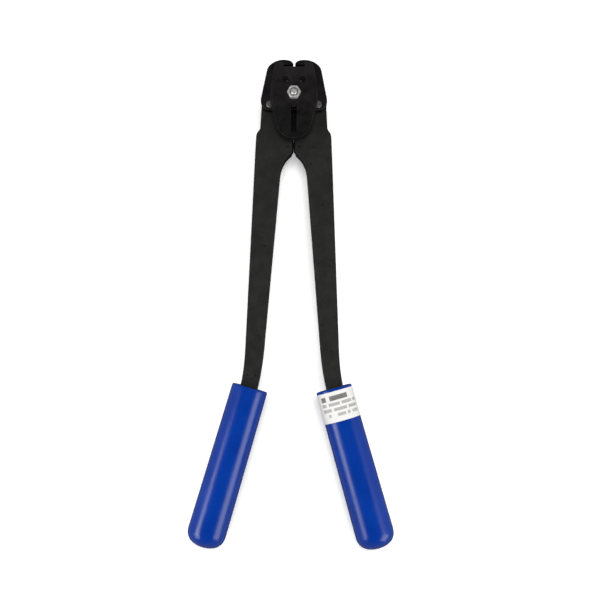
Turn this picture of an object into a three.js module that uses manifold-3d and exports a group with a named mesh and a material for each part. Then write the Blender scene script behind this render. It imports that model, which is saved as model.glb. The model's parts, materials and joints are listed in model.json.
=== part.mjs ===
// Front-action crimper for steel strap seals: two long handles close two pairs of jaws on a seal.
//
// Millimetres. The tool lies on its back: X to the right, Y towards the mouth, Z up out of the front cover.
// Everything is drawn about the clamp bolt's axis and the middle of the plate stack, with the handles
// closed, and the finished tool is then moved so that its origin is the bottom centre of its box.
// The plates, from the middle out: handles and centre block, then jaws and punches, then covers.

import * as THREE from 'three';
import { mergeVertices } from 'three/addons/utils/BufferGeometryUtils.js';
import Module from 'manifold-3d';

const wasm = await Module();
wasm.setup();

// Plate stack, along Z
const HANDLE_THICKNESS = 14;
const BLOCK_THICKNESS = 14.2;
const PUNCH_THICKNESS = 6.8;
const JAW_THICKNESS = 6.5;
const COVER_THICKNESS = 4.5;
const PLATE_GAP = 0.02; // film between plates that are clamped together

// Pivots on the left side; the right side mirrors them
const JAW_PIVOT = new THREE.Vector2(-7.05, 12.3);
const LINK_PIVOT = new THREE.Vector2(-20.05, -7.8);
const CENTRE_PIVOT = new THREE.Vector2(0, -9.1);
const CENTRE_TRAVEL = 20.97; // the centre pin slides this far along the cover slots

// Pins and bolt
const JAW_PIN_RADIUS = 2.65;
const LINK_PIN_RADIUS = 3;
const CENTRE_PIN_RADIUS = 2.35;
const BOLT_RADIUS = 3;
const HEX_ACROSS_FLATS = 9.8;
const NUT_HEIGHT = 5;
const BOLT_HEAD_HEIGHT = 4;
const BOLT_PROUD = 0.5; // bolt end above the nut
const PIN_RECESS = 0.7; // pin ends below the covers' faces
const FIXED_FIT = 0.04; // radial gap round a pin that doesn't turn
const RUNNING_FIT = 0.06; // radial gap round a pin that turns
const BOLT_CLEARANCE = 0.12;
const SPACER_RADIUS = 3.7;
const SPACER_END_GAP = 0.1;

// Mouth
const MOUTH_FLOOR = 22.8;
const MOUTH_HALF_WIDTH = 8.85;
const BEAK_UNDERSIDE = 25.95;

// Jaws
const JAW_BOSS_RADIUS = 4.7; // round the jaw pin
const JAW_HOOK_X = -8.9; // inner wall of the hook
const JAW_FOOT_CENTRE = new THREE.Vector2(-19.1, -4.5);
const JAW_FOOT_RADIUS = 8.5;
const JAW_INNER_RADIUS = 6.2; // round the link pin, on the side towards the middle
const JAW_ARM_OFFSET = 1.9; // inner edge of the arm, from the line through both pivots

// Punch and centre block
const PUNCH_HALF_WIDTH = 8.55;
const PUNCH_BOSS_GAP = 0.25;
const PUNCH_FOOT_RADIUS = 5;
const BLOCK_HALF_WIDTH = 12.5;
const BLOCK_BOTTOM = 0.5;
const BLOCK_SHOULDER = 17.5;
const SADDLE_RADIUS = 3.2;

// Covers
const COVER_HALF_WIDTH = 19.45;
const COVER_END_CENTRE_Y = -23.1;
const COVER_END_RADIUS = 14.75;
const COVER_TAPER = THREE.MathUtils.degToRad(15.8);
const SLOT_HALF_WIDTH = 2.45;
const SLOT_END_GAP = 0.2;
const SLOT_CORNER = 0.9;

// Handles, left side
const EAR_RADIUS = 7.1;
const LUG_RADIUS = 5.6;
const TONGUE_HALF_WIDTH = 2.8; // below the lug, closing the gap between the handles behind the cover slots
const TONGUE_END_Y = -28.5; // centre of its rounded end
const LUG_GAP = 0.3; // round the other handle's lug and tongue
const LAP_GAP = 0.1; // between the two lugs' flat faces
const LINK_SLOT_RADIUS = 3.9;
const LINK_SLOT_START = new THREE.Vector2(0, -0.4); // from the link pivot
const LINK_SLOT_END = new THREE.Vector2(3.2, -0.6);
const STOP_X = -0.06; // the two handles' stops all but touch when closed
const STOP_TOP = -34.6;
const STOP_BOTTOM = -43.6;

// Grips, left side
const GRIP_TILT = THREE.MathUtils.degToRad(16);
const GRIP_MOUTH = new THREE.Vector2(-34.4, -242.2);
const GRIP_LENGTH = 134.1;
const GRIP_MOUTH_RADIUS = 14.95;
const GRIP_END_RADIUS = 15.8;
const GRIP_DOME_LENGTH = 12.5;
const GRIP_RIM = 1;
const TANG_WIDTH = 13.8;
const TANG_OFFSET = 0.8; // the tang lies this far outboard of the grip's axis
const TANG_LENGTH = 104;
const BEND_END = 3; // the bar is straight from here on, inside the grip's mouth
const TANG_GAP = 0.25;
const LABEL_TOP = 2.2;
const LABEL_HEIGHT = 24.5;
const LABEL_RADIUS = 15.3;
const LABEL_THICKNESS = 0.25;
const LABEL_WRAP = THREE.MathUtils.degToRad(190);

const ROUND_STEPS = 36;
const ARC_STEPS = 9;

const COLOURS = {
  cover: { color: 0x232122, roughness: 0.55, metalness: 0.6 },
  jaw: { color: 0x1c191c, roughness: 0.45, metalness: 0.8 },
  handle: { color: 0x2a2a2a, roughness: 0.6, metalness: 0.4 },
  pin: { color: 0x77756f, roughness: 0.35, metalness: 1 },
  zinc: { color: 0xc9c4c2, roughness: 0.3, metalness: 1 },
  vinyl: { color: 0x003399, roughness: 0.25, metalness: 0 },
  paper: { color: 0xf2efec, roughness: 0.7, metalness: 0 },
};

const tool = new THREE.Group();

// ---- helpers -------------------------------------------------------------------------------------

function addMesh(name, geometry, finish, parent = tool) {
  const mesh = new THREE.Mesh(geometry, new THREE.MeshStandardMaterial(COLOURS[finish]));
  mesh.name = name;
  parent.add(mesh);
  return mesh;
}

function toSolid(geometry) {
  const bare = geometry.clone();
  bare.deleteAttribute('normal');
  bare.deleteAttribute('uv');
  const merged = mergeVertices(bare, 1e-3);
  return new wasm.Manifold(new wasm.Mesh({
    numProp: 3,
    vertProperties: Float32Array.from(merged.attributes.position.array),
    triVerts: Uint32Array.from(merged.index.array),
  }));
}

function toGeometry(solid) {
  const mesh = solid.getMesh();
  const geometry = new THREE.BufferGeometry();
  geometry.setAttribute('position', new THREE.BufferAttribute(mesh.vertProperties, 3));
  geometry.setIndex(new THREE.BufferAttribute(mesh.triVerts, 1));
  return geometry;
}

// A flat plate with the given outline, from one height to another
function plate(shape, low, high) {
  const geometry = new THREE.ExtrudeGeometry(shape, {
    depth: high - low, bevelEnabled: false, curveSegments: ARC_STEPS,
  });
  return geometry.translate(0, 0, low);
}

// An upright cylinder at a point
function rod(radius, low, high, centre) {
  const geometry = new THREE.CylinderGeometry(radius, radius, high - low, ROUND_STEPS);
  return geometry.rotateX(Math.PI / 2).translate(centre.x, centre.y, (low + high) / 2);
}

function roundHole(centre, radius) {
  const points = [];
  for (let i = 0; i < ROUND_STEPS; i++) {
    const angle = 2 * Math.PI * i / ROUND_STEPS;
    points.push(new THREE.Vector2(centre.x + radius * Math.cos(angle), centre.y + radius * Math.sin(angle)));
  }
  return new THREE.Path(points);
}

function hexagon(acrossFlats) {
  const points = [];
  for (let i = 0; i < 6; i++) {
    const angle = i * Math.PI / 3;
    const corner = acrossFlats / Math.sqrt(3);
    points.push(new THREE.Vector2(corner * Math.cos(angle), corner * Math.sin(angle)));
  }
  return new THREE.Shape(points);
}

function mirrorPoint(point) {
  return new THREE.Vector2(-point.x, point.y);
}

// The corners of a closed outline, each once
function distinctPoints(path) {
  const points = path.getPoints(ARC_STEPS);
  return points.filter((point, i) => point.distanceTo(points.at(i - 1)) > 0.01);
}

// The same outline on the right side, with its holes, still drawn anticlockwise
function mirrorShape(shape) {
  const mirrorPath = (path) => distinctPoints(path).map(mirrorPoint).reverse();
  const mirrored = new THREE.Shape(mirrorPath(shape));
  mirrored.holes = shape.holes.map((hole) => new THREE.Path(mirrorPath(hole)));
  return mirrored;
}

function shapeFor(side, shape) {
  return side === 'left' ? shape : mirrorShape(shape);
}

function pointFor(side, point) {
  return side === 'left' ? point : mirrorPoint(point);
}

const degrees = THREE.MathUtils.degToRad;

// ---- heights of the layers -----------------------------------------------------------------------

const punchLow = BLOCK_THICKNESS / 2 + PLATE_GAP;
const punchHigh = punchLow + PUNCH_THICKNESS;
const jawLow = (punchLow + punchHigh - JAW_THICKNESS) / 2;
const jawHigh = jawLow + JAW_THICKNESS;
const coverLow = punchHigh + PLATE_GAP;
const coverHigh = coverLow + COVER_THICKNESS;

// Adds a front piece and its twin behind the middle plane
function addFrontAndRear(name, shape, low, high, finish) {
  addMesh(`${name}_front`, plate(shape, low, high), finish);
  addMesh(`${name}_rear`, plate(shape, -high, -low), finish);
}

// ---- jaws ----------------------------------------------------------------------------------------

function jawShape() {
  const armDirection = JAW_PIVOT.clone().sub(LINK_PIVOT).normalize();
  const armAngle = armDirection.angle();
  const footTangent = Math.PI - 0.194; // where the straight outer flank meets the rounded foot
  const shape = new THREE.Shape();
  shape.moveTo(-1.3, BEAK_UNDERSIDE);
  shape.quadraticCurveTo(-0.55, 26.2, -0.85, 26.9);
  shape.bezierCurveTo(-1.6, 28.9, -4.2, 30.15, -8.7, 30.15);
  shape.bezierCurveTo(-15.5, 30.15, -21.75, 26, -22.8, 21);
  shape.absarc(JAW_FOOT_CENTRE.x, JAW_FOOT_CENTRE.y, JAW_FOOT_RADIUS, footTangent, degrees(285), false);
  const innerEnd = armAngle - Math.asin(JAW_ARM_OFFSET / JAW_INNER_RADIUS);
  shape.absarc(LINK_PIVOT.x, LINK_PIVOT.y, JAW_INNER_RADIUS, degrees(-52), innerEnd, false);
  const bossStart = armAngle - Math.PI + Math.asin(JAW_ARM_OFFSET / JAW_BOSS_RADIUS);
  const bossEnd = Math.acos((JAW_HOOK_X - JAW_PIVOT.x) / JAW_BOSS_RADIUS);
  shape.absarc(JAW_PIVOT.x, JAW_PIVOT.y, JAW_BOSS_RADIUS, bossStart, bossEnd, false);
  shape.lineTo(JAW_HOOK_X, BEAK_UNDERSIDE - 1);
  shape.quadraticCurveTo(JAW_HOOK_X, BEAK_UNDERSIDE, JAW_HOOK_X + 1, BEAK_UNDERSIDE);
  shape.closePath();
  shape.holes.push(roundHole(JAW_PIVOT, JAW_PIN_RADIUS + RUNNING_FIT));
  shape.holes.push(roundHole(LINK_PIVOT, LINK_PIN_RADIUS + FIXED_FIT));
  return shape;
}

for (const side of ['left', 'right']) {
  addFrontAndRear(`jaw_${side}`, shapeFor(side, jawShape()), jawLow, jawHigh, 'jaw');
}

// ---- punches: fixed anvils between the two jaws of a pair, one in each jaw layer ---------------------

function punchShape() {
  const bossRadius = JAW_BOSS_RADIUS + PUNCH_BOSS_GAP;
  const right = mirrorPoint(JAW_PIVOT);
  const shape = new THREE.Shape();
  shape.moveTo(PUNCH_HALF_WIDTH, MOUTH_FLOOR);
  shape.lineTo(-PUNCH_HALF_WIDTH, MOUTH_FLOOR);
  shape.lineTo(-PUNCH_HALF_WIDTH, MOUTH_FLOOR - 3);
  shape.absarc(JAW_PIVOT.x, JAW_PIVOT.y, bossRadius, degrees(95), degrees(-35), true);
  shape.absarc(0, 0, PUNCH_FOOT_RADIUS, degrees(150), degrees(390), false);
  shape.absarc(right.x, right.y, bossRadius, degrees(215), degrees(85), true);
  shape.lineTo(PUNCH_HALF_WIDTH, MOUTH_FLOOR - 3);
  shape.closePath();
  shape.holes.push(roundHole(new THREE.Vector2(0, 0), BOLT_RADIUS + BOLT_CLEARANCE));
  return shape;
}

addFrontAndRear('punch', punchShape(), punchLow, punchHigh, 'jaw');

// ---- centre block: carries the seal between the jaw pairs and sits on the bolt like a saddle ---------

function blockShape() {
  const saddleStart = Math.asin(BLOCK_BOTTOM / SADDLE_RADIUS);
  const shape = new THREE.Shape();
  shape.moveTo(PUNCH_HALF_WIDTH, MOUTH_FLOOR);
  shape.lineTo(-PUNCH_HALF_WIDTH, MOUTH_FLOOR);
  shape.lineTo(-BLOCK_HALF_WIDTH, BLOCK_SHOULDER);
  shape.lineTo(-BLOCK_HALF_WIDTH, BLOCK_BOTTOM);
  shape.absarc(0, 0, SADDLE_RADIUS, Math.PI - saddleStart, saddleStart, true);
  shape.lineTo(BLOCK_HALF_WIDTH, BLOCK_BOTTOM);
  shape.lineTo(BLOCK_HALF_WIDTH, BLOCK_SHOULDER);
  shape.closePath();
  for (const side of ['left', 'right']) {
    shape.holes.push(roundHole(pointFor(side, JAW_PIVOT), JAW_PIN_RADIUS + FIXED_FIT));
  }
  return shape;
}

addMesh('centre_block', plate(blockShape(), -BLOCK_THICKNESS / 2, BLOCK_THICKNESS / 2), 'jaw');

// ---- covers ----------------------------------------------------------------------------------------

// One half of the cover's edge, from the mouth notch round to the bottom
function coverHalf() {
  const edge = new THREE.Path();
  edge.moveTo(-MOUTH_HALF_WIDTH + 0.8, MOUTH_FLOOR);
  edge.quadraticCurveTo(-MOUTH_HALF_WIDTH, MOUTH_FLOOR, -MOUTH_HALF_WIDTH, MOUTH_FLOOR + 0.8);
  edge.lineTo(-MOUTH_HALF_WIDTH, 25.3);
  edge.quadraticCurveTo(-MOUTH_HALF_WIDTH, 26.6, -10.2, 26.6);
  edge.lineTo(-12.8, 26.6);
  edge.quadraticCurveTo(-15.2, 26.6, -15.7, 24.7);
  edge.quadraticCurveTo(-COVER_HALF_WIDTH, 10, -COVER_HALF_WIDTH, -2);
  edge.lineTo(-COVER_HALF_WIDTH, -7.5);
  edge.absarc(0, COVER_END_CENTRE_Y, COVER_END_RADIUS, Math.PI + COVER_TAPER, 1.5 * Math.PI, false);
  return edge.getPoints(ARC_STEPS);
}

function slotPath() {
  const bottom = CENTRE_PIVOT.y - CENTRE_TRAVEL - CENTRE_PIN_RADIUS - SLOT_END_GAP;
  const path = new THREE.Path();
  path.absarc(CENTRE_PIVOT.x, CENTRE_PIVOT.y, SLOT_HALF_WIDTH, 0, Math.PI, false);
  path.lineTo(-SLOT_HALF_WIDTH, bottom + SLOT_CORNER);
  path.quadraticCurveTo(-SLOT_HALF_WIDTH, bottom, -SLOT_HALF_WIDTH + SLOT_CORNER, bottom);
  path.lineTo(SLOT_HALF_WIDTH - SLOT_CORNER, bottom);
  path.quadraticCurveTo(SLOT_HALF_WIDTH, bottom, SLOT_HALF_WIDTH, bottom + SLOT_CORNER);
  return new THREE.Path(path.getPoints(ARC_STEPS));
}

function coverShape() {
  const left = coverHalf();
  const right = left.slice(0, -1).reverse().map(mirrorPoint);
  const shape = new THREE.Shape([...left, ...right]);
  shape.holes.push(roundHole(new THREE.Vector2(0, 0), BOLT_RADIUS + BOLT_CLEARANCE));
  for (const side of ['left', 'right']) {
    shape.holes.push(roundHole(pointFor(side, JAW_PIVOT), JAW_PIN_RADIUS + FIXED_FIT));
  }
  shape.holes.push(slotPath());
  return shape;
}

addFrontAndRear('cover', coverShape(), coverLow, coverHigh, 'cover');

// ---- pins, spacers and clamp bolt ----------------------------------------------------------------------

const pinEnd = coverHigh - PIN_RECESS;
for (const side of ['left', 'right']) {
  addMesh(`jaw_pin_${side}`, rod(JAW_PIN_RADIUS, -pinEnd, pinEnd, pointFor(side, JAW_PIVOT)), 'pin');
  addMesh(`link_pin_${side}`, rod(LINK_PIN_RADIUS, -jawHigh, jawHigh, pointFor(side, LINK_PIVOT)), 'pin');
}
addMesh('centre_pin', rod(CENTRE_PIN_RADIUS, -pinEnd, pinEnd, CENTRE_PIVOT), 'pin');

function spacerShape() {
  const shape = new THREE.Shape(roundHole(CENTRE_PIVOT, SPACER_RADIUS).getPoints());
  shape.holes.push(roundHole(CENTRE_PIVOT, CENTRE_PIN_RADIUS + FIXED_FIT));
  return shape;
}

addFrontAndRear(
  'pin_spacer', spacerShape(), HANDLE_THICKNESS / 2 + SPACER_END_GAP, coverLow - SPACER_END_GAP, 'pin',
);

function nutShape() {
  const shape = hexagon(HEX_ACROSS_FLATS);
  shape.holes.push(roundHole(new THREE.Vector2(0, 0), BOLT_RADIUS + FIXED_FIT));
  return shape;
}

const nutLow = coverHigh + PLATE_GAP;
addMesh('clamp_nut', plate(nutShape(), nutLow, nutLow + NUT_HEIGHT), 'zinc');

function clampBolt() {
  const boltHigh = nutLow + NUT_HEIGHT + BOLT_PROUD;
  const shank = rod(BOLT_RADIUS, -nutLow - BOLT_HEAD_HEIGHT / 2, boltHigh, new THREE.Vector2(0, 0));
  const head = plate(hexagon(HEX_ACROSS_FLATS), -nutLow - BOLT_HEAD_HEIGHT, -nutLow);
  return toGeometry(toSolid(head).add(toSolid(shank)));
}

addMesh('clamp_bolt', clampBolt(), 'zinc');

// ---- handles ---------------------------------------------------------------------------------------

const gripAxis = new THREE.Vector2(-Math.sin(GRIP_TILT), -Math.cos(GRIP_TILT));
const outboard = new THREE.Vector2(-Math.cos(GRIP_TILT), Math.sin(GRIP_TILT));

// A point on the tang: along the grip's axis from its mouth, and out from that axis
function tangPoint(along, out) {
  return GRIP_MOUTH.clone().addScaledVector(gripAxis, along).addScaledVector(outboard, out);
}

// Ear at the top, bar down the outside, tang in the grip, then back up the inside to the stop and the lug
function handleShape() {
  const outer = TANG_OFFSET + TANG_WIDTH / 2;
  const inner = TANG_OFFSET - TANG_WIDTH / 2;
  const outerBend = tangPoint(BEND_END, outer);
  const innerBend = tangPoint(BEND_END, inner);
  const outerTip = tangPoint(TANG_LENGTH, outer);
  const innerTip = tangPoint(TANG_LENGTH, inner);
  const shape = new THREE.Shape();
  shape.moveTo(-5.2, -7);
  shape.absarc(LINK_PIVOT.x, LINK_PIVOT.y, EAR_RADIUS, degrees(80), degrees(180), false);
  shape.lineTo(-28.1, -25.9);
  shape.quadraticCurveTo(-28.4, -27.6, -29.9, -29.2);
  shape.quadraticCurveTo(-31.4, -30.9, -31.55, -34.4);
  shape.lineTo(-38.4, -210);
  shape.quadraticCurveTo(-39.3, -231.4, outerBend.x, outerBend.y);
  shape.lineTo(outerTip.x, outerTip.y);
  shape.lineTo(innerTip.x, innerTip.y);
  shape.lineTo(innerBend.x, innerBend.y);
  shape.quadraticCurveTo(-25.2, -232.3, -23.25, -211);
  shape.lineTo(-11.4, -66.5);
  shape.bezierCurveTo(-10.8, -57.5, -7.2, -51.6, -1.9, -47.3);
  shape.quadraticCurveTo(-1.2, -45, STOP_X, STOP_BOTTOM);
  shape.lineTo(STOP_X, STOP_TOP);
  shape.quadraticCurveTo(-1.2, -32.8, -3.2, -32);
  shape.lineTo(-3.2, -9.1);
  shape.closePath();
  return shape;
}

// The slot in the ear lets the link pin shift a little in mid-swing
function linkSlotShape() {
  const start = LINK_PIVOT.clone().add(LINK_SLOT_START);
  const end = LINK_PIVOT.clone().add(LINK_SLOT_END);
  const shape = new THREE.Shape();
  shape.absarc(start.x, start.y, LINK_SLOT_RADIUS, degrees(90), degrees(270), false);
  shape.absarc(end.x, end.y, LINK_SLOT_RADIUS, degrees(-90), degrees(90), false);
  return shape;
}

// The lug round the centre pin with the tongue below it, grown by a margin all round
function lugShape(margin) {
  const halfWidth = TONGUE_HALF_WIDTH + margin;
  const radius = LUG_RADIUS + margin;
  const neck = Math.asin(halfWidth / radius);
  const shape = new THREE.Shape();
  shape.absarc(0, TONGUE_END_Y, halfWidth, Math.PI, 2 * Math.PI, false);
  shape.absarc(CENTRE_PIVOT.x, CENTRE_PIVOT.y, radius, -Math.PI / 2 + neck, 1.5 * Math.PI - neck, false);
  return new THREE.Shape(distinctPoints(shape));
}

// Each handle keeps half of the thickness at the lap: the left one in front, the right one behind
function handleGeometry(side) {
  const half = HANDLE_THICKNESS / 2;
  const [cutLow, cutHigh] = side === 'left' ? [-half - 1, LAP_GAP / 2] : [-LAP_GAP / 2, half + 1];
  const body = toSolid(plate(shapeFor(side, handleShape()), -half, half));
  const lug = toSolid(plate(lugShape(0), -half, half));
  const otherLug = toSolid(plate(lugShape(LUG_GAP), cutLow, cutHigh));
  const bore = toSolid(rod(CENTRE_PIN_RADIUS + RUNNING_FIT, -half - 1, half + 1, CENTRE_PIVOT));
  const linkSlot = toSolid(plate(shapeFor(side, linkSlotShape()), -half - 1, half + 1));
  return toGeometry(body.add(lug).subtract(otherLug).subtract(bore).subtract(linkSlot));
}

for (const side of ['left', 'right']) {
  addMesh(`handle_${side}`, handleGeometry(side), 'handle');
}

// ---- grips, drawn upright with the mouth at the top and then tilted -------------------------------------

function gripProfile() {
  const profile = new THREE.Path();
  const domeTop = -GRIP_LENGTH + GRIP_DOME_LENGTH;
  profile.moveTo(0, 0);
  profile.lineTo(GRIP_MOUTH_RADIUS - GRIP_RIM, 0);
  profile.quadraticCurveTo(GRIP_MOUTH_RADIUS, 0, GRIP_MOUTH_RADIUS, -GRIP_RIM);
  profile.lineTo(GRIP_END_RADIUS, domeTop);
  profile.bezierCurveTo(GRIP_END_RADIUS, domeTop - 7, 11.5, -GRIP_LENGTH + 0.2, 0, -GRIP_LENGTH);
  return profile.getPoints(8);
}

function gripGeometry(side) {
  const offset = side === 'left' ? -TANG_OFFSET : TANG_OFFSET;
  const depth = TANG_LENGTH + 2;
  const body = new THREE.LatheGeometry(gripProfile().reverse(), ROUND_STEPS);
  const pocket = new THREE.BoxGeometry(TANG_WIDTH + 2 * TANG_GAP, 2 * depth, HANDLE_THICKNESS + 2 * TANG_GAP);
  return toGeometry(toSolid(body).subtract(toSolid(pocket.translate(offset, 0, 0))));
}

// A sticker round the front of the grip
function labelGeometry() {
  const start = (Math.PI - LABEL_WRAP) / 2;
  const end = (Math.PI + LABEL_WRAP) / 2;
  const shape = new THREE.Shape();
  shape.absarc(0, 0, LABEL_RADIUS + LABEL_THICKNESS, start, end, false);
  shape.absarc(0, 0, LABEL_RADIUS, end, start, true);
  return plate(shape, LABEL_TOP, LABEL_TOP + LABEL_HEIGHT).rotateX(Math.PI / 2);
}

for (const side of ['left', 'right']) {
  const frame = new THREE.Group();
  const mouth = pointFor(side, GRIP_MOUTH);
  frame.position.set(mouth.x, mouth.y, 0);
  frame.rotation.z = side === 'left' ? -GRIP_TILT : GRIP_TILT;
  tool.add(frame);
  addMesh(`grip_${side}`, gripGeometry(side), 'vinyl', frame);
  if (side === 'right') {
    addMesh('label', labelGeometry(), 'paper', frame);
  }
}

// ---- origin at the bottom centre of the whole tool's box -------------------------------------------------

tool.updateMatrixWorld(true);
const box = new THREE.Box3().setFromObject(tool, true);
tool.position.set(0, -(box.min.y + box.max.y) / 2, -box.min.z);

export default tool;
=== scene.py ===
"""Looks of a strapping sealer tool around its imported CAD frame: fine meshes, finishes, light and camera.

Metres, in the CAD's own frame: X right, Y towards the mouth, Z up out of the front cover.
"""

import json
import math

import bmesh
import bpy
import numpy as np
from mathutils import Matrix, Vector


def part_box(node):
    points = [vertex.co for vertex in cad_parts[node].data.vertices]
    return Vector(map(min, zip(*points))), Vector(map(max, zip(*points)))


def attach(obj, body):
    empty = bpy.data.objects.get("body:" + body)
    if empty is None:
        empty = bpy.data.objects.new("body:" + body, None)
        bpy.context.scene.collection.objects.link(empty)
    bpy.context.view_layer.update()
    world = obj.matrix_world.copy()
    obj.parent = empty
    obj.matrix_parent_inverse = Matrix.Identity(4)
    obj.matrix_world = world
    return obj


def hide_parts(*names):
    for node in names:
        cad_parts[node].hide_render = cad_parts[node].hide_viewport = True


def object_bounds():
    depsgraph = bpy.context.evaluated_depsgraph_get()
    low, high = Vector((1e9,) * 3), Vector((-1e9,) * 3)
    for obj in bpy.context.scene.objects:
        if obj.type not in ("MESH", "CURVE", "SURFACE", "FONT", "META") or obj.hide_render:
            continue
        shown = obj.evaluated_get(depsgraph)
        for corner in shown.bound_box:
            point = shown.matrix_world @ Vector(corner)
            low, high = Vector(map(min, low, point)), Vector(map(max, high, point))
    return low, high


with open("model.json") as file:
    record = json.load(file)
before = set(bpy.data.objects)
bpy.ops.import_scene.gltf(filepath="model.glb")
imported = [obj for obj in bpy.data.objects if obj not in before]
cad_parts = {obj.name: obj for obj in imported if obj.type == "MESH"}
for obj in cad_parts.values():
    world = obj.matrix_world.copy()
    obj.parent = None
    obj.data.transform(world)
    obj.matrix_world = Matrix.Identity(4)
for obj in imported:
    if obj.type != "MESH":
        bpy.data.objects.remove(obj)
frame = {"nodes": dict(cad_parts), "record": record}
cad_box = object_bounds()

MM = 0.001
BODIES = frame["record"]["behaviour"]["bodies"]
SLOTS = {s["node"]: s["material_slot"] for s in frame["record"]["subparts"]}


def middle(node):
    """Centre of a CAD node's box"""
    low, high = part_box(node)
    return (low + high) / 2


MID_PLANE = middle("handle_left").z
FLOOR = cad_box[0][2]

# ---- camera: above the tool, a little towards the grips ----------------------------------------------

CAMERA_DISTANCE = 0.74
CAMERA_TILT = math.radians(4.8)
CAMERA_ROLL = math.radians(0.40)
CAMERA_AIM = Vector((0.00618, 0.00129, MID_PLANE))
LENS = 53.5  # mm
SENSOR = 36  # mm


def add_camera():
    """A still camera over the tool, with the mouth at the top of the picture"""
    back = Vector((0, -math.sin(CAMERA_TILT), math.cos(CAMERA_TILT)))
    right = Vector((1, 0, 0))
    up = back.cross(right)
    turned_right = right * math.cos(CAMERA_ROLL) + up * math.sin(CAMERA_ROLL)
    turned_up = up * math.cos(CAMERA_ROLL) - right * math.sin(CAMERA_ROLL)
    data = bpy.data.cameras.new("camera")
    data.lens = LENS
    data.sensor_width = SENSOR
    camera = bpy.data.objects.new("camera", data)
    bpy.context.scene.collection.objects.link(camera)
    axes = Matrix((turned_right, turned_up, back)).transposed()
    camera.matrix_world = Matrix.Translation(CAMERA_AIM + back * CAMERA_DISTANCE) @ axes.to_4x4()
    bpy.context.scene.camera = camera


# ---- shader helper -----------------------------------------------------------------------------------


class Finish:
    """One material and its nodes. Inputs are numbers, colours or sockets."""

    def __init__(self, name):
        self.material = bpy.data.materials.new(name)
        self.material.use_nodes = True
        self.nodes = self.material.node_tree.nodes
        self.links = self.material.node_tree.links
        self.shader = self.nodes["Principled BSDF"]
        self.place = self.nodes.new("ShaderNodeTexCoord").outputs["Object"]

    def fill(self, node, inputs):
        for key, value in inputs.items():
            socket = node.inputs[key]
            if isinstance(value, bpy.types.NodeSocket):
                self.links.new(value, socket)
            elif isinstance(value, tuple) and len(value) == 3 and socket.type == "RGBA":
                socket.default_value = (*value, 1)
            else:
                socket.default_value = value

    def surface(self, **inputs):
        self.fill(self.shader, {key.replace("_", " "): value for key, value in inputs.items()})

    def math(self, operation, *values, clamp=False):
        node = self.nodes.new("ShaderNodeMath")
        node.operation = operation
        node.use_clamp = clamp
        self.fill(node, dict(enumerate(values)))
        return node.outputs[0]

    def noise(self, scale, detail, roughness, stretch=None):
        place = self.place
        if stretch:
            mapping = self.nodes.new("ShaderNodeMapping")
            self.fill(mapping, {"Vector": place, "Scale": stretch})
            place = mapping.outputs[0]
        node = self.nodes.new("ShaderNodeTexNoise")
        self.fill(node, {"Vector": place, "Scale": scale, "Detail": detail, "Roughness": roughness})
        return node.outputs["Fac"]

    def band(self, value, low, high, from_value=0.0, to_value=1.0):
        """value between low and high, stretched to run between the last two numbers"""
        node = self.nodes.new("ShaderNodeMapRange")
        node.interpolation_type = "SMOOTHSTEP"
        settings = {"From Min": low, "From Max": high, "To Min": from_value, "To Max": to_value}
        self.fill(node, {"Value": value, **settings})
        return node.outputs[0]

    def mix(self, share, first, second):
        node = self.nodes.new("ShaderNodeMix")
        node.data_type = "RGBA"
        self.fill(node, {0: share, 6: first, 7: second})
        return node.outputs[2]

    def attribute(self, name):
        node = self.nodes.new("ShaderNodeAttribute")
        node.attribute_name = name
        return node.outputs["Fac"]

    def spot(self, centre, reach_x, reach_y, soft):
        """1 inside an upright ellipse round a place in the frame, fading to 0 at its rim"""
        axes = self.nodes.new("ShaderNodeSeparateXYZ")
        self.fill(axes, {0: self.place})
        parts = []
        for axis, middle_of_axis, reach in ((0, centre.x, reach_x), (1, centre.y, reach_y)):
            offset = self.math("DIVIDE", self.math("SUBTRACT", axes.outputs[axis], middle_of_axis), reach)
            parts.append(self.math("MULTIPLY", offset, offset))
        return self.band(self.math("ADD", *parts), 1 - soft, 1 + soft, 1.0, 0.0)

    def bump(self, height, distance, strength, under=None):
        node = self.nodes.new("ShaderNodeBump")
        self.fill(node, {"Height": height, "Distance": distance, "Strength": strength})
        if under:
            self.fill(node, {"Normal": under})
        return node.outputs[0]


# ---- finishes ----------------------------------------------------------------------------------------


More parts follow.
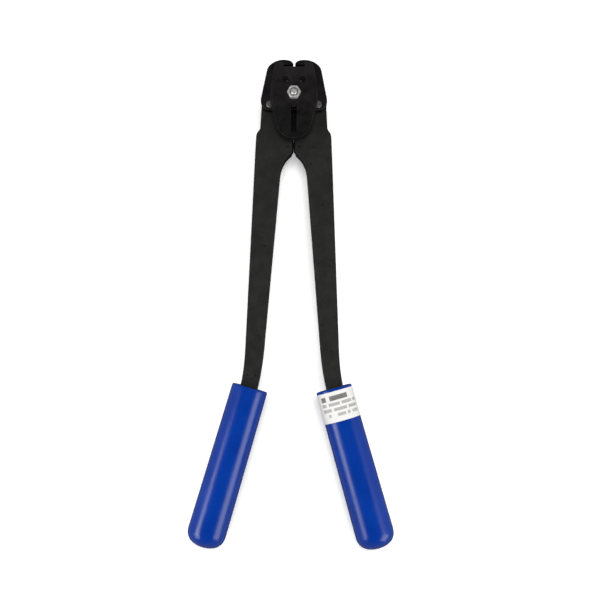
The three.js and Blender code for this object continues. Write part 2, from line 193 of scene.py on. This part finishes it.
def coated_steel(name, dark, light, bare, wear, roughness, patch_scale, grain_depth, marks=()):
    """Blackened or coated steel: cloudy patches, fine grain, small pits, bare metal on the rounded edges and
    painted shade on the upright walls.
    marks lists ellipses of another colour, most of them painted shade and painted light: (centre, reach in X,
    reach in Y, softness, share, colour)."""
    finish = Finish(name)
    patches = finish.noise(patch_scale, 5, 0.62)
    grain = finish.noise(1900, 2, 0.6)
    scuffs = finish.noise(260, 4, 0.7, stretch=(1.0, 0.12, 1.0))
    pits = finish.band(finish.noise(430, 2, 0.5), 0.66, 0.74)
    colour = finish.mix(finish.band(patches, 0.32, 0.68), dark, light)
    colour = finish.mix(finish.band(scuffs, 0.62, 0.8, 0, 0.3), colour, bare)
    worn = finish.math("MULTIPLY", finish.attribute("edge"), finish.band(patches, 0.38, 0.7, 0.05, wear))
    colour = finish.mix(worn, colour, bare)
    colour = finish.mix(finish.math("MULTIPLY", pits, 0.8), colour, (0.002, 0.002, 0.002))
    # painted shade: faces that stand upright are darkened towards black, as if shade fell on the walls
    upright = finish.nodes.new("ShaderNodeSeparateXYZ")
    finish.fill(upright, {0: finish.nodes.new("ShaderNodeNewGeometry").outputs["Normal"]})
    wall_shade = finish.band(finish.math("ABSOLUTE", upright.outputs[2]), 0.15, 0.7, 0.8, 0.0)
    colour = finish.mix(wall_shade, colour, (0.0025, 0.0023, 0.0024))
    # painted shade and painted light from the marks
    for centre, reach_x, reach_y, soft, share, tint in marks:
        strength = finish.math("MULTIPLY", finish.spot(centre, reach_x, reach_y, soft), share)
        colour = finish.mix(strength, colour, tint)
    fine_rough = finish.band(grain, 0.3, 0.7, -0.05, 0.05)
    rough = finish.math("ADD", fine_rough, finish.band(patches, 0.3, 0.7, *roughness))
    rough = finish.math("SUBTRACT", rough, finish.math("MULTIPLY", worn, 0.12))
    relief = finish.bump(grain, grain_depth, 0.5, finish.bump(patches, 3 * grain_depth, 0.4))
    relief = finish.bump(finish.math("SUBTRACT", 1.0, pits), 0.1 * MM, 0.6, relief)
    finish.surface(Base_Color=colour, Roughness=rough, Normal=relief, Metallic=0.0, Specular_IOR_Level=0.3)
    return finish.material


def ground_steel(name, dark, light, roughness):
    """Bare steel, smeared and ground along Y"""
    finish = Finish(name)
    smear = finish.noise(420, 4, 0.6)
    lines = finish.noise(1500, 2, 0.5, stretch=(1.0, 0.1, 1.0))
    colour = finish.mix(finish.band(smear, 0.3, 0.7), dark, light)
    rough = finish.band(lines, 0.3, 0.7, *roughness)
    relief = finish.bump(lines, 0.02 * MM, 0.4)
    finish.surface(Base_Color=colour, Roughness=rough, Normal=relief, Metallic=0.84)
    return finish.material


def zinc_plate():
    """Bright plate, with painted shade in the ring-shaped groove between bolt and nut"""
    finish = Finish("zinc")
    clouds = finish.noise(500, 4, 0.6)
    grain = finish.noise(3000, 2, 0.5)
    colour = finish.mix(finish.band(clouds, 0.3, 0.7), (0.66, 0.63, 0.62), (0.98, 0.95, 0.94))
    axis = middle("clamp_nut")
    # painted shade: a dark ring over the groove between bolt and nut
    groove_shade_outside = finish.spot(axis, 3.6 * MM, 3.6 * MM, 0.15)
    groove_shade = finish.math("SUBTRACT", groove_shade_outside, finish.spot(axis, 2.8 * MM, 2.8 * MM, 0.2))
    colour = finish.mix(finish.math("MULTIPLY", groove_shade, 0.8, clamp=True), colour, (0.05, 0.045, 0.045))
    rough = finish.band(grain, 0.3, 0.7, 0.30, 0.44)
    relief = finish.bump(clouds, 0.05 * MM, 0.6)
    finish.surface(Base_Color=colour, Roughness=rough, Normal=relief, Metallic=0.68)
    return finish.material


def dipped_vinyl():
    """Glossy blue vinyl: faint clouds, slow waves and a fine grain"""
    finish = Finish("vinyl")
    clouds = finish.noise(45, 4, 0.6)
    grain = finish.noise(1100, 3, 0.6)
    waves = finish.noise(120, 2, 0.5)
    colour = finish.mix(finish.band(clouds, 0.3, 0.7), (0.0001, 0.030, 0.265), (0.0002, 0.036, 0.300))
    rough = finish.band(clouds, 0.3, 0.7, 0.22, 0.27)
    relief = finish.bump(grain, 0.09 * MM, 0.8, finish.bump(waves, 0.06 * MM, 0.25))
    finish.surface(Base_Color=colour, Roughness=rough, Normal=relief, Specular_IOR_Level=0.5)
    return finish.material


PRINTED_ROWS = [
    # height, half height, ink, strokes across the sheet, inked share of a stroke, the blocks' starts and ends
    (0.79, 0.080, 1.0, 58, 0.80, ((0.20, 0.30), (0.37, 0.68))),
    (0.59, 0.050, 0.85, 92, 0.58, ((0.19, 0.28), (0.33, 0.52), (0.55, 0.74), (0.77, 0.86))),
    (0.41, 0.050, 0.85, 92, 0.58, ((0.19, 0.36), (0.40, 0.62), (0.65, 0.84))),
    (0.23, 0.050, 0.75, 92, 0.58, ((0.28, 0.33), (0.44, 0.58), (0.61, 0.66), (0.70, 0.85))),
]


def sticker_paper():
    """White paper with plain printed rows: one bold row of blocks and three light rows of fine strokes"""
    finish = Finish("sticker")
    across = finish.nodes.new("ShaderNodeSeparateXYZ")
    finish.fill(across, {0: finish.nodes.new("ShaderNodeTexCoord").outputs["UV"]})
    u, v = across.outputs[0], across.outputs[1]

    def inside(value, centre, half, soft):
        reach = finish.math("ABSOLUTE", finish.math("SUBTRACT", value, centre))
        return finish.math("SUBTRACT", 1.0, finish.band(reach, half - soft, half + soft))

    ink = None
    for height, half, strength, strokes, inked, words in PRINTED_ROWS:
        phase = finish.math("FRACT", finish.math("MULTIPLY", u, strokes))
        stroke = inside(phase, 0.5, inked / 2, 0.12)
        row = inside(v, height, half, 0.008)
        for start, end in words:
            word = inside(u, (start + end) / 2, (end - start) / 2, 0.004)
            print_share = finish.math("MULTIPLY", finish.math("MULTIPLY", row, word), stroke)
            print_share = finish.math("MULTIPLY", print_share, strength)
            ink = print_share if ink is None else finish.math("MAXIMUM", ink, print_share)
    fibres = finish.noise(900, 3, 0.6)
    paper = finish.mix(finish.band(fibres, 0.3, 0.7), (0.80, 0.785, 0.76), (0.86, 0.85, 0.83))
    colour = finish.mix(ink, paper, (0.030, 0.024, 0.024))
    finish.surface(Base_Color=colour, Roughness=0.55, Normal=finish.bump(fibres, 0.02 * MM, 0.4))
    return finish.material


PIVOT = middle("centre_pin")
BLACK = (0.0008, 0.0008, 0.0009)
# lighter tone for the painted light on the cover's head
PAINTED_COVER_LIGHT = (0.0175, 0.0160, 0.0165)
GLINT = (0.10, 0.10, 0.10)


def mark(x, y, reach_x, reach_y, soft=0.3, share=0.88, colour=BLACK):
    """An ellipse for coated_steel; x and y in millimetres from the pivot, reaches in millimetres"""
    return PIVOT + Vector((x, y, 0)) * MM, reach_x * MM, reach_y * MM, soft, share, colour


# painted shade: black on the handles under the cover's slot, where the deep slot lies in shade
SLOT_SHADE = mark(0, -11, 6, 17)
# painted shade: black along the narrow gap between the handles' stops
CREVICE_SHADE = mark(0, -31, 1.35, 9.5, share=0.95)
# two small dark spots on the handles, just below the cover
DARK_SPOTS = [mark(way * 4.8, -32.8, 1.3, 0.6) for way in (-1, 1)]
COVER_SHADE = mark(0, -6, 34, 30, 0.45, 0.13)
# painted shade towards the cover's foot and painted light towards its head
COVER_FOOT_SHADE = mark(0, -19, 22, 21, 0.9, 0.36)
COVER_HEAD_LIGHT = mark(0, 36, 20, 13, 0.9, 0.55, PAINTED_COVER_LIGHT)
JAW_PIN = (middle("jaw_pin_right") - PIVOT) / MM
# painted shade in the jaw pins' recessed ends, with a small painted highlight at each lower inner edge
PIN_SHADE_AND_GLINTS = []
for way in (-1, 1):
    PIN_SHADE_AND_GLINTS.append(mark(way * JAW_PIN.x, JAW_PIN.y - 0.9, 2.5, 1.7, 0.6, 0.6))
    PIN_SHADE_AND_GLINTS.append(mark(way * (JAW_PIN.x - 1.4), JAW_PIN.y - 1.9, 0.8, 0.5, 0.7, 0.7, GLINT))

FINISHES = {
    "cover_steel": coated_steel(
        "cover_steel", (0.0066, 0.0056, 0.0061), (0.0125, 0.0115, 0.0120), (0.06, 0.06, 0.057),
        0.25, (0.46, 0.58), 150, 0.05 * MM, [COVER_FOOT_SHADE, COVER_HEAD_LIGHT],
    ),
    "jaw_steel": coated_steel(
        "jaw_steel", (0.0060, 0.0050, 0.0060), (0.0115, 0.0100, 0.0110), (0.08, 0.08, 0.075),
        0.35, (0.42, 0.54), 180, 0.04 * MM, PIN_SHADE_AND_GLINTS,
    ),
    "handle_paint": coated_steel(
        "handle_paint", (0.0150, 0.0148, 0.0145), (0.0205, 0.0205, 0.0200), (0.04, 0.04, 0.038),
        0.4, (0.50, 0.60), 110, 0.06 * MM, [COVER_SHADE, SLOT_SHADE, CREVICE_SHADE, *DARK_SPOTS],
    ),
    "pin_steel": ground_steel("pin_steel", (0.30, 0.295, 0.28), (0.46, 0.45, 0.43), (0.42, 0.52)),
    "zinc": zinc_plate(),
    "vinyl": dipped_vinyl(),
    "sticker": sticker_paper(),
}


# ---- pieces ------------------------------------------------------------------------------------------


def add_piece(node, mesh_data, smooth_angle=32):
    """Gives a fine mesh the place, body, slot and finish of the CAD node that it stands for"""
    mesh = bpy.data.meshes.new(node + "_fine")
    mesh_data.normal_update()
    mesh_data.to_mesh(mesh)
    mesh_data.free()
    mesh.polygons.foreach_set("use_smooth", [True] * len(mesh.polygons))
    mesh.set_sharp_from_angle(angle=math.radians(smooth_angle))
    piece = bpy.data.objects.new(node + "_fine", mesh)
    bpy.context.scene.collection.objects.link(piece)
    piece.data.materials.append(FINISHES[SLOTS[node]])
    body = next(name for name, nodes in BODIES.items() if node in nodes)
    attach(piece, body)
    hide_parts(node)
    return piece


def weighted_normals(piece):
    """Shades the big faces flat and the narrow rounded edges soft"""
    modifier = piece.modifiers.new("even_normals", "WEIGHTED_NORMAL")
    modifier.keep_sharp = True


# Plates and handles: the CAD solid with its edges rounded

WELD = 2e-6
FLAT = math.radians(0.2)
SHARP = math.radians(25)
EDGE_SEGMENTS = 3
EDGE_RADIUS = {"cover": 0.5 * MM, "jaw": 0.5 * MM, "punch": 0.3 * MM, "centre": 0.4 * MM, "handle": 0.5 * MM}
PINS = ("jaw_pin_left", "jaw_pin_right", "link_pin_left", "link_pin_right", "centre_pin")


def rounded_copy(node, radius):
    """The CAD node's mesh, welded, with flat faces whole and sharp edges rounded"""
    fine = bmesh.new()
    fine.from_mesh(frame["nodes"][node].data)
    bmesh.ops.remove_doubles(fine, verts=fine.verts, dist=WELD)
    bmesh.ops.dissolve_limit(fine, angle_limit=FLAT, verts=fine.verts, edges=fine.edges)
    fine.normal_update()
    sharp = [e for e in fine.edges if len(e.link_faces) == 2 and e.calc_face_angle() > SHARP]
    worn = fine.faces.layers.float.new("edge")
    result = bmesh.ops.bevel(
        fine, geom=sharp, offset=radius, offset_type="OFFSET", segments=EDGE_SEGMENTS, profile=0.5,
        affect="EDGES", clamp_overlap=False, miter_outer="ARC", miter_inner="SHARP",
    )
    for face in result["faces"]:
        face[worn] = 1.0
    return fine


for node in frame["nodes"]:
    kind = node.split("_")[0]
    if kind in EDGE_RADIUS and node not in PINS:
        weighted_normals(add_piece(node, rounded_copy(node, EDGE_RADIUS[kind])))


# Turned and hexagonal pieces: rings of points round an upright axis

ROUND_STEPS = 72


def bridge(fine, lower, upper):
    """Faces between two rings of points; a ring of one point is a pole"""
    count = max(len(lower), len(upper))
    for i in range(count):
        j = (i + 1) % count
        if len(lower) == 1:
            fine.faces.new((lower[0], upper[j], upper[i]))
        elif len(upper) == 1:
            fine.faces.new((lower[i], lower[j], upper[0]))
        else:
            fine.faces.new((lower[i], lower[j], upper[j], upper[i]))


def turned(centre, rings, closed=False):
    """A solid from rings (radius, height); either may be a function of the angle. A zero radius is a pole."""
    fine = bmesh.new()
    made = []
    for radius, height in rings:
        points = []
        for i in range(1 if radius == 0 else ROUND_STEPS):
            angle = 2 * math.pi * i / ROUND_STEPS
            r = radius(angle) if callable(radius) else radius
            z = height(angle) if callable(height) else height
            x, y = centre.x + r * math.cos(angle), centre.y + r * math.sin(angle)
            points.append(fine.verts.new((x, y, z)))
        made.append(points)
    for lower, upper in zip(made, made[1:] + (made[:1] if closed else [])):
        if lower is not upper:
            bridge(fine, lower, upper)
    bmesh.ops.recalc_face_normals(fine, faces=fine.faces)
    return fine


PIN_CHAMFER = 0.45 * MM
SPACER_CHAMFER = 0.3 * MM
RUNNING_GAP = 0.04 * MM


def pin(node):
    """A plain round pin with softly chamfered ends"""
    low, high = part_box(node)
    radius = (high.x - low.x) / 2
    profile = [
        # inwards from the pin's side, inwards from its end
        (radius, 0), (PIN_CHAMFER, 0), (0.15 * PIN_CHAMFER, 0.6 * PIN_CHAMFER), (0, PIN_CHAMFER),
    ]
    rings = [(radius - inset, low.z + depth) for inset, depth in profile]
    rings += [(radius - inset, high.z - depth) for inset, depth in reversed(profile)]
    return turned(middle(node), rings)


for node in PINS:
    weighted_normals(add_piece(node, pin(node)))


def spacer(node):
    """A ring round the centre pin"""
    low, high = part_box(node)
    outer = (high.x - low.x) / 2
    pin_low, pin_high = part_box("centre_pin")
    inner = (pin_high.x - pin_low.x) / 2 + RUNNING_GAP
    rings = [
        (inner, low.z), (outer - SPACER_CHAMFER, low.z), (outer, low.z + SPACER_CHAMFER),
        (outer, high.z - SPACER_CHAMFER), (outer - SPACER_CHAMFER, high.z), (inner, high.z),
    ]
    return turned(middle(node), rings, closed=True)


for node in ("pin_spacer_front", "pin_spacer_rear"):
    add_piece(node, spacer(node))

# Nut and bolt

BOLT_RADIUS = 3 * MM
THREAD_PITCH = 1 * MM
THREAD_DEPTH = 0.55 * MM
THREAD_RINGS = 60
HEAD_GAP = 0.02 * MM
BOLT_CROWN = 0.6 * MM
CROWN_RADII = (1.9 * MM, 1.3 * MM, 0.6 * MM)
TIP_CONE = 0.75 * MM
CONE_SLOPE = 0.9
HEX_APOTHEM = (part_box("clamp_nut")[1].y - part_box("clamp_nut")[0].y) / 2
HEX_CORNER = 0.985 * HEX_APOTHEM / math.cos(math.pi / 6)
CHAMFER_RADIUS = 0.95 * HEX_APOTHEM
CHAMFER_SLOPE = math.tan(math.radians(30))


def hexagon(angle):
    """Radius of the hexagon's outline, its corners turned off"""
    from_flat = angle % (math.pi / 3) - math.pi / 6
    return min(HEX_APOTHEM / math.cos(from_flat), HEX_CORNER)


def chamfered(face, direction):
    """Height of a hexagon's rim below a face whose outside points along direction"""
    return lambda angle: face - direction * (hexagon(angle) - CHAMFER_RADIUS) * CHAMFER_SLOPE


def nut():
    """A hexagon nut, chamfered and countersunk on both faces"""
    low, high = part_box("clamp_nut")
    bore = BOLT_RADIUS + RUNNING_GAP
    sink = BOLT_RADIUS + THREAD_DEPTH
    rings = [
        (bore, low.z + 0.5 * MM), (sink, low.z), (CHAMFER_RADIUS, low.z), (hexagon, chamfered(low.z, -1)),
        (hexagon, chamfered(high.z, 1)), (CHAMFER_RADIUS, high.z), (sink + 0.1 * MM, high.z),
        (sink, high.z - 0.08 * MM), (bore, high.z - 0.7 * MM),
    ]
    return turned(middle("clamp_nut"), rings, closed=True)


def thread_radius(height, tip):
    """Radius of the thread's surface at a height, as a function of the angle; the tip is coned off"""
    cone = BOLT_RADIUS - max(0.0, TIP_CONE - (tip - height)) * CONE_SLOPE

    def radius(angle):
        phase = (height / THREAD_PITCH - angle / (2 * math.pi)) % 1.0
        crest = BOLT_RADIUS - THREAD_DEPTH * abs(2 * phase - 1)
        return min(crest, cone)

    return radius


def bolt():
    """A hexagon bolt whose thread runs from inside the nut to a coned, slightly domed tip"""
    low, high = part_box("clamp_bolt")
    head_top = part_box("cover_rear")[0].z - HEAD_GAP
    thread_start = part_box("clamp_nut")[0].z + 0.5 * MM
    tip = high.z
    rings = [
        (0, low.z), (CHAMFER_RADIUS, low.z), (hexagon, chamfered(low.z, -1)), (hexagon, head_top),
        (BOLT_RADIUS, head_top), (BOLT_RADIUS, thread_start),
    ]
    shoulder = tip - BOLT_CROWN
    for i in range(1, THREAD_RINGS + 1):
        height = thread_start + (shoulder - thread_start) * i / THREAD_RINGS
        rings.append((thread_radius(height, shoulder), height))
    for radius in CROWN_RADII:
        rings.append((radius, tip - BOLT_CROWN * (radius / BOLT_RADIUS) ** 2))
    rings.append((0, tip))
    return turned(middle("clamp_bolt"), rings)


add_piece("clamp_nut", nut(), 20)
add_piece("clamp_bolt", bolt(), 20)


# Grips: sleeves of revolution with a dished mouth and a pocket for the tang

GRIP_STEPS = 96
TANG_GAP = 0.2 * MM
TANG_START = 20 * MM  # the bar is straight from here on, measured from the grip's mouth
MOUTH_BAND = 1.1 * MM  # the CAD's points this near to the mouth give its radius
MOUTH_DISH = 1.6 * MM
RIM = 1.3 * MM
POCKET_FLOOR = 25 * MM  # left solid behind the pocket
BOX_POWER = 8.0  # how square the pocket is
DOME_CORNERS = ((0, 0), (11.5, 0.2), (None, 5.5), (None, 12.5))  # radius, depth in mm; None is the end radius
DOME_STEPS = 18
SLEEVE_STEPS = 24
RIM_STEPS = 6
DISH_SHARES = (0.0, 0.25, 0.5, 0.75, 1.0)
FACET_GAP = 0.06 * MM  # keeps the round sleeve inside the CAD's faceted one


class GripFrame:
    """Where a grip's mouth is and which way it points, from its CAD mesh"""

    def __init__(self, node):
        points = np.array([v.co for v in frame["nodes"][node].data.vertices])
        flat = points[:, :2] - points[:, :2].mean(0)
        along = np.linalg.svd(flat, full_matrices=False)[2][0]
        along = along * -np.sign(along[1])
        self.along = Vector((*along, 0))
        self.across = Vector((0, 0, 1)).cross(self.along)
        places = points[:, :2] @ along
        sides = points @ np.array(self.across)
        self.length = places.max() - places.min() - FACET_GAP
        self.end_radius = (sides.max() - sides.min()) / 2 - FACET_GAP
        near_mouth = places < places.min() + MOUTH_BAND
        self.mouth_radius = (sides[near_mouth].max() - sides[near_mouth].min()) / 2 - FACET_GAP
        centre = (sides.max() + sides.min()) / 2
        self.mouth = self.along * places.min() + self.across * centre
        self.mouth.z = (points[:, 2].max() + points[:, 2].min()) / 2

    def point(self, along, across, up):
        return self.mouth + self.along * along + self.across * across + Vector((0, 0, up))


def tang_section(handle, place):
    """Middle and half width of the bar where it enters the grip, across the grip's axis"""
    points = np.array([v.co for v in frame["nodes"][handle].data.vertices])
    relative = points - np.array(place.mouth)
    inside = relative @ np.array(place.along) > TANG_START
    sides = relative[inside] @ np.array(place.across)
    return (sides.max() + sides.min()) / 2, (sides.max() - sides.min()) / 2


def rounded_box(half_x, half_y, angle):
    """Point of a rounded rectangle's edge in the given direction"""
    cos, sin = math.cos(angle), math.sin(angle)
    scale = (abs(cos / half_x) ** BOX_POWER + abs(sin / half_y) ** BOX_POWER) ** (-1 / BOX_POWER)
    return cos * scale, sin * scale


def grip(side):
    """A sleeve: domed end, straight wall, rounded rim, dished mouth, then the pocket for the tang"""
    place = GripFrame("grip_" + side)
    offset, half_tang = tang_section("handle_" + side, place)
    low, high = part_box("handle_" + side)
    half_thick = (high.z - low.z) / 2
    pocket_end = place.length - POCKET_FLOOR
    rings = []

    def circle(radius, along):
        rings.append([
            place.point(along, radius * math.cos(t), radius * math.sin(t))
            for t in (2 * math.pi * i / GRIP_STEPS for i in range(GRIP_STEPS))
        ])

    def pocket(along, share=1.0, radius=0.0):
        """Ring of the tang's pocket; a share under 1 blends it into a circle"""
        ring = []
        for i in range(GRIP_STEPS):
            t = 2 * math.pi * i / GRIP_STEPS
            x, y = rounded_box(half_tang + TANG_GAP, half_thick + TANG_GAP, t)
            x = (offset + x) * share + radius * math.cos(t) * (1 - share)
            y = y * share + radius * math.sin(t) * (1 - share)
            ring.append(place.point(along, x, y))
        rings.append(ring)

    corners = [(place.end_radius if r is None else r * MM, depth * MM) for r, depth in DOME_CORNERS]
    for i in range(1, DOME_STEPS + 1):
        t = i / DOME_STEPS
        weights = ((1 - t) ** 3, 3 * t * (1 - t) ** 2, 3 * t * t * (1 - t), t ** 3)
        radius = sum(w * corner[0] for w, corner in zip(weights, corners))
        depth = sum(w * corner[1] for w, corner in zip(weights, corners))
        circle(radius, place.length - depth)
    dome = corners[-1][1]
    for i in range(1, SLEEVE_STEPS + 1):
        share = i / SLEEVE_STEPS
        along = (place.length - dome) * (1 - share) + RIM * share
        circle(place.end_radius + (place.mouth_radius - place.end_radius) * share, along)
    for i in range(1, RIM_STEPS + 1):
        turn = math.pi / 2 * i / RIM_STEPS
        circle(place.mouth_radius - RIM * (1 - math.cos(turn)), RIM * (1 - math.sin(turn)))
    rim_inner = place.mouth_radius - 1.6 * RIM
    for share in DISH_SHARES:
        depth = MOUTH_DISH * math.sin(math.pi / 2 * share) ** 1.5
        pocket(depth, share, rim_inner)
    pocket(MOUTH_DISH + 1 * MM)
    pocket(pocket_end)

    fine = bmesh.new()
    made = [[fine.verts.new(p) for p in ring] for ring in rings]
    tip = fine.verts.new(place.point(place.length, 0, 0))
    bottom = fine.verts.new(place.point(pocket_end, offset, 0))
    bridge(fine, [tip], made[0])
    for lower, upper in zip(made, made[1:]):
        bridge(fine, lower, upper)
    bridge(fine, made[-1], [bottom])
    bmesh.ops.recalc_face_normals(fine, faces=fine.faces)
    return fine


for side in ("left", "right"):
    add_piece("grip_" + side, grip(side), 50)


# Sticker: a thin curved sheet with rounded corners, hugging the right grip

STICKER_THICKNESS = 0.12 * MM
STICKER_LIFT = 0.03 * MM
STICKER_CORNER = 2.2 * MM
STICKER_HALF_WRAP = math.radians(95)
STICKER_COLUMNS, STICKER_ROWS = 64, 24
ROW_SHARES = [(1 - math.cos(math.pi * row / STICKER_ROWS)) / 2 for row in range(STICKER_ROWS + 1)]


def sticker():
    """The sheet's two curved faces and its border, with print coordinates over each face"""
    place = GripFrame("grip_right")
    points = np.array([v.co for v in frame["nodes"]["label"].data.vertices]) - np.array(place.mouth)
    alongs = points @ np.array(place.along)
    start, end = alongs.min(), alongs.max()
    slope = (place.end_radius - place.mouth_radius) / place.length
    fine = bmesh.new()
    layer = fine.loops.layers.uv.new("print")
    sheets = []
    for lift in (STICKER_LIFT, STICKER_LIFT + STICKER_THICKNESS):
        sheet = []
        for share in ROW_SHARES:
            along = start + (end - start) * share
            radius = place.mouth_radius + slope * along + lift
            near = min(along - start, end - along, STICKER_CORNER)
            pull = STICKER_CORNER - math.sqrt(max(0.0, STICKER_CORNER ** 2 - (STICKER_CORNER - near) ** 2))
            half = STICKER_HALF_WRAP - pull / radius
            line = []
            for column in range(STICKER_COLUMNS + 1):
                angle = math.pi / 2 - half + 2 * half * column / STICKER_COLUMNS
                point = place.point(along, radius * math.cos(angle), radius * math.sin(angle))
                line.append(fine.verts.new(point))
            sheet.append(line)
        sheets.append(sheet)
    uv_of = {}
    for sheet in sheets:
        for share, line in zip(ROW_SHARES, sheet):
            for column, vertex in enumerate(line):
                uv_of[vertex] = (1 - column / STICKER_COLUMNS, 1 - share)
        for first, second in zip(sheet, sheet[1:]):
            for i in range(STICKER_COLUMNS):
                fine.faces.new((first[i], first[i + 1], second[i + 1], second[i]))
    inner, outer = sheets

    def rim(sheet):
        """The sheet's border, all the way round"""
        top = sheet[0]
        bottom = sheet[-1][::-1]
        right = [line[-1] for line in sheet[1:-1]]
        left = [line[0] for line in sheet[1:-1]][::-1]
        return top + right + bottom + left

    bridge(fine, rim(inner), rim(outer))
    bmesh.ops.recalc_face_normals(fine, faces=fine.faces)
    for face in fine.faces:
        for loop in face.loops:
            loop[layer].uv = uv_of[loop.vert]
    return fine


add_piece("label", sticker(), 40)

# ---- floor, light ------------------------------------------------------------------------------------

FLOOR_REACH = 3.0
FLOOR_GLOW = 0.32
ABOVE_HORIZON = (0.0, 0.8, 0.30, 0.04)  # two heights of the direction looked in, and the strength at each
BELOW_HORIZON = (-0.92, -0.70, 0.06, 1.0)  # the same, as a share of the strength
LIGHTS = {
    # name: place, aim, width, height, radiance, shows in reflections
    "left_low": ((-0.62, -0.38, 0.39), (0, -0.10, 0), 0.44, 0.30, 3.6, True),
    "left_high": ((-0.62, -0.17, 0.42), (0, -0.10, 0), 0.34, 0.24, 3.6, True),
    "right_low": ((0.62, -0.42, 0.32), (0, -0.10, 0), 0.50, 0.44, 3.2, True),
    "right_high": ((0.62, -0.02, 0.40), (0, -0.10, 0), 0.30, 0.26, 0.4, True),
    "overhead": ((0.08, 0.32, 1.6), (0, -0.05, 0), 0.6, 0.6, 17.2, False),
    "fill_left": ((-0.95, -0.15, 0.24), (0, -0.15, 0), 0.9, 0.3, 2.2, False),
    "fill_right": ((0.95, -0.15, 0.24), (0, -0.15, 0), 0.9, 0.3, 2.2, False),
}


def add_floor():
    """A plain, bright, matt floor that neither tints the tool nor shows in its gloss"""
    mesh = bpy.data.meshes.new("floor")
    turns = ((-1, -1), (1, -1), (1, 1), (-1, 1))
    corners = [(x * FLOOR_REACH, y * FLOOR_REACH, FLOOR) for x, y in turns]
    mesh.from_pydata(corners, [], [(0, 1, 2, 3)])
    floor = bpy.data.objects.new("floor", mesh)
    bpy.context.scene.collection.objects.link(floor)
    finish = Finish("floor")
    finish.surface(
        Base_Color=(0.9, 0.9, 0.9), Roughness=0.9, Specular_IOR_Level=0.0,
        Emission_Color=(1, 1, 1), Emission_Strength=FLOOR_GLOW,
    )
    floor.data.materials.append(finish.material)
    floor.visible_diffuse = False
    floor.visible_glossy = False


def add_panel(name, place, aim, width, height, radiance, glossy):
    """A soft box at a place, turned to an aim point"""
    data = bpy.data.lights.new(name, "AREA")
    data.shape = "RECTANGLE"
    data.size = width
    data.size_y = height
    data.energy = radiance * width * height * math.pi
    light = bpy.data.objects.new(name, data)
    bpy.context.scene.collection.objects.link(light)
    light.location = place
    light.rotation_euler = (Vector(aim) - Vector(place)).to_track_quat("-Z", "Y").to_euler()
    light.visible_glossy = glossy


def add_world():
    """A dim room: grey round the horizon, nearly dark overhead and straight below"""
    world = bpy.data.worlds.new("studio")
    bpy.context.scene.world = world
    world.use_nodes = True
    nodes, links = world.node_tree.nodes, world.node_tree.links
    direction = nodes.new("ShaderNodeSeparateXYZ")
    links.new(nodes.new("ShaderNodeTexCoord").outputs["Generated"], direction.inputs[0])
    strength = nodes.new("ShaderNodeMath")
    strength.operation = "MULTIPLY"
    for i, settings in enumerate((ABOVE_HORIZON, BELOW_HORIZON)):
        fade = nodes.new("ShaderNodeMapRange")
        fade.interpolation_type = "SMOOTHSTEP"
        for key, value in zip(("From Min", "From Max", "To Min", "To Max"), settings):
            fade.inputs[key].default_value = value
        links.new(direction.outputs["Z"], fade.inputs["Value"])
        links.new(fade.outputs[0], strength.inputs[i])
    links.new(strength.outputs[0], nodes["Background"].inputs["Strength"])
    nodes["Background"].inputs["Color"].default_value = (1, 1, 1, 1)


add_camera()
add_world()
add_floor()
for name, panel in LIGHTS.items():
    add_panel(name, *panel)

bpy.context.scene.view_settings.view_transform = "Standard"
